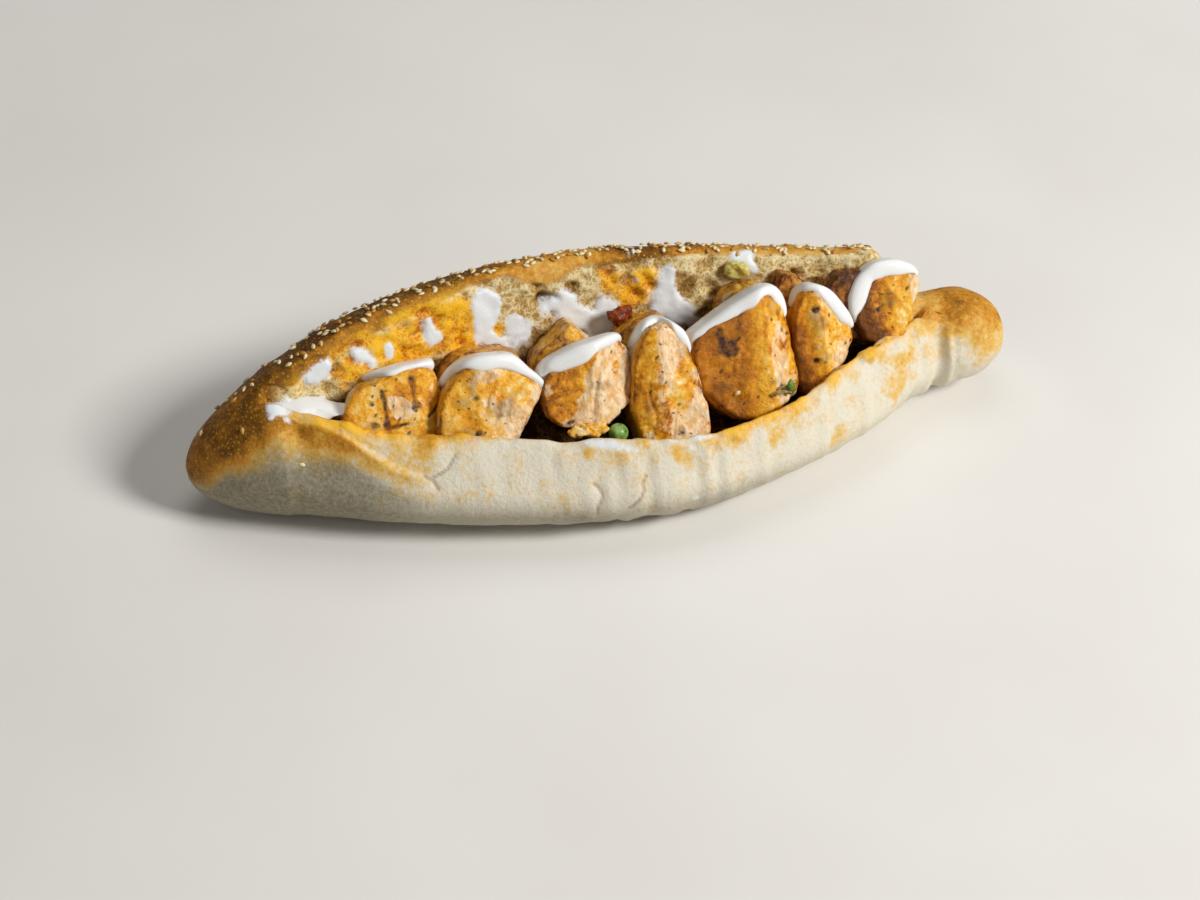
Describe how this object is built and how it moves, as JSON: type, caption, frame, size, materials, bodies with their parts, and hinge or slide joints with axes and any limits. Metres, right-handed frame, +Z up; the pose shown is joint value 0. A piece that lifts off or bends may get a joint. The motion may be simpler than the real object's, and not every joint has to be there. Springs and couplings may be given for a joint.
{
  "type": "filled baguette",
  "caption": "Small sesame baguette split along the top and opened like a boat, filled with chunks of grilled herbed chicken under thick white sauce, with scraps of vegetable between them.",
  "frame": {"origin": "on the table under the middle of the loaf's outline", "axes": "+X along the loaf to its small end, -Y to the low front leaf, +Z up"},
  "size_m": [0.308, 0.1054, 0.0678],
  "materials": {
    "crust": "dry baked wheat crust, golden above and floury below",
    "chicken": "grilled chicken, moist with oil and herbs",
    "browned_chicken": "grilled chicken, browned darker",
    "sauce": "thick white garlic and yoghurt sauce, glossy",
    "green_vegetable": "cooked green vegetable, moist",
    "red_pepper": "cooked red pepper, moist",
    "pickle": "pickled cucumber, moist"
  },
  "bodies": {
    "root": {"bread": "crust", "chicken_1": "chicken", "chicken_2": "chicken", "chicken_3": "chicken", "chicken_4": "chicken", "chicken_5": "chicken", "chicken_6": "chicken", "chicken_7": "chicken", "chicken_back_1": "browned_chicken", "chicken_back_2": "browned_chicken", "chicken_back_3": "browned_chicken", "chicken_back_4": "browned_chicken", "chicken_back_5": "browned_chicken", "chicken_back_6": "browned_chicken", "sauce_pool": "sauce", "pea": "green_vegetable", "chicken_shred": "chicken", "pepper_scrap": "red_pepper", "pickle_scrap": "pickle", "green_scrap": "green_vegetable"}
  },
  "joints": []
}
